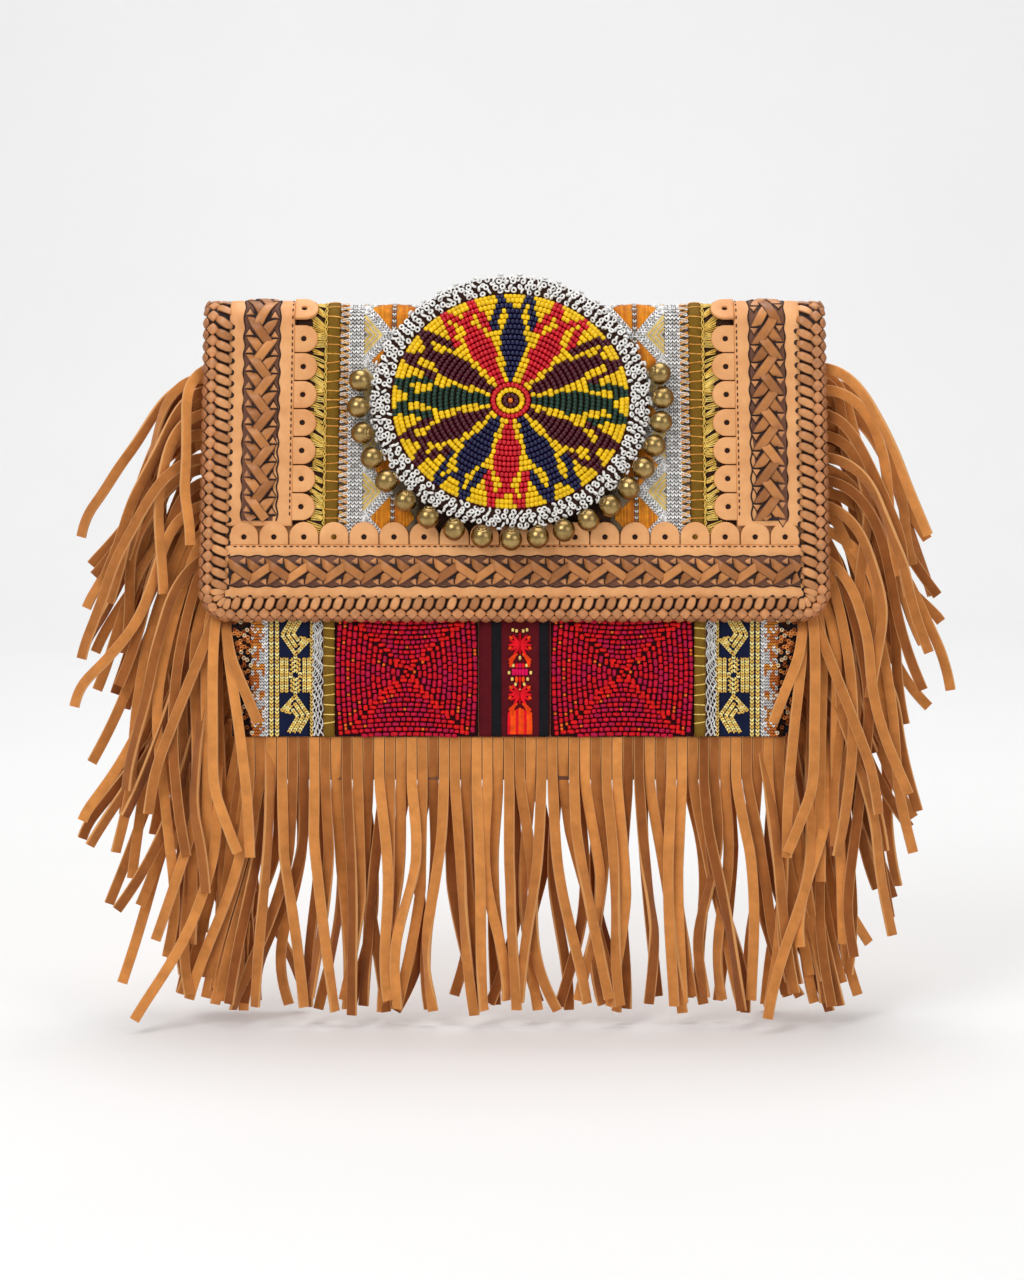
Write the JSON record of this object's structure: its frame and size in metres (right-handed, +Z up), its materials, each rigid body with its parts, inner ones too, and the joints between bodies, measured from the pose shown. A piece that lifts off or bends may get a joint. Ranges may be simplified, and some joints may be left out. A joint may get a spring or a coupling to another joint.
{
  "type": "fringed flap clutch bag",
  "caption": "Flat leather clutch with a fold-over flap, laced and plaited edges, beaded rosette with bells, woven and beaded cloth, and suede fringe on three sides.",
  "frame": {"origin": "middle of the crest of the top fold, where a hand holds the closed bag up", "axes": "+Z up, +X to the right seen from the front, the flap and its rosette face -Y"},
  "size_m": [0.4256, 0.0642, 0.3621],
  "materials": {
    "leather": "smooth vegetable-tanned leather, semi-matt",
    "braid_leather": "darker burnished leather thongs",
    "suede": "brushed suede with paler cut edges",
    "gold_lace": "metallic gold thread lace",
    "olive_ribbon": "olive ribbon couched with gold thread",
    "silver_trim": "silver and copper metal-thread braid",
    "zigzag_trim": "white and silver embroidery with orange satin",
    "dark_cloth": "dark maroon ground cloth",
    "rosette_beads": "opaque glass seed beads",
    "white_beads": "opaque white glass seed beads",
    "brass": "aged brass, satin",
    "woven_ribbon": "woven maroon and black ribbon",
    "red_beads": "opaque red glass beads on dark cloth",
    "gold_navy_ribbon": "gold-thread zigzag on navy ground",
    "copper_edging": "copper sequins and beads on dark cloth"
  },
  "bodies": {
    "root": {"flap_and_back": "leather", "front_panel": "leather", "base_panel": "leather", "gusset_left": "leather", "gusset_right": "leather", "scallop_band_left": "leather", "scallop_band_right": "leather", "scallop_band_bottom": "leather", "braid_left": "braid_leather", "braid_right": "braid_leather", "braid_bottom": "braid_leather", "lacing_left": "braid_leather", "lacing_right": "braid_leather", "lacing_bottom": "braid_leather", "fringe_left": "suede", "fringe_right": "suede", "fringe_bottom": "suede", "gold_lace_left": "gold_lace", "gold_lace_right": "gold_lace", "flap_olive_ribbon_left": "olive_ribbon", "flap_olive_ribbon_right": "olive_ribbon", "panel_olive_ribbon_left": "olive_ribbon", "panel_olive_ribbon_right": "olive_ribbon", "silver_trim_left": "silver_trim", "silver_trim_right": "silver_trim", "panel_silver_lace_left": "silver_trim", "panel_silver_lace_right": "silver_trim", "zigzag_trim_left": "zigzag_trim", "zigzag_trim_right": "zigzag_trim", "centre_cloth": "dark_cloth", "rosette": "rosette_beads", "rosette_edging": "white_beads", "bell_01": "brass", "bell_02": "brass", "bell_03": "brass", "bell_04": "brass", "bell_05": "brass", "bell_06": "brass", "bell_07": "brass", "bell_08": "brass", "bell_09": "brass", "bell_10": "brass", "bell_11": "brass", "bell_12": "brass", "bell_13": "brass", "bell_14": "brass", "bell_15": "brass", "bell_16": "brass", "bell_17": "brass", "bell_18": "brass", "bell_19": "brass", "bell_20": "brass", "woven_centre_ribbon": "woven_ribbon", "red_beaded_panel_left": "red_beads", "red_beaded_panel_right": "red_beads", "gold_navy_ribbon_left": "gold_navy_ribbon", "gold_navy_ribbon_right": "gold_navy_ribbon", "copper_edging_left": "copper_edging", "copper_edging_right": "copper_edging"}
  },
  "joints": []
}
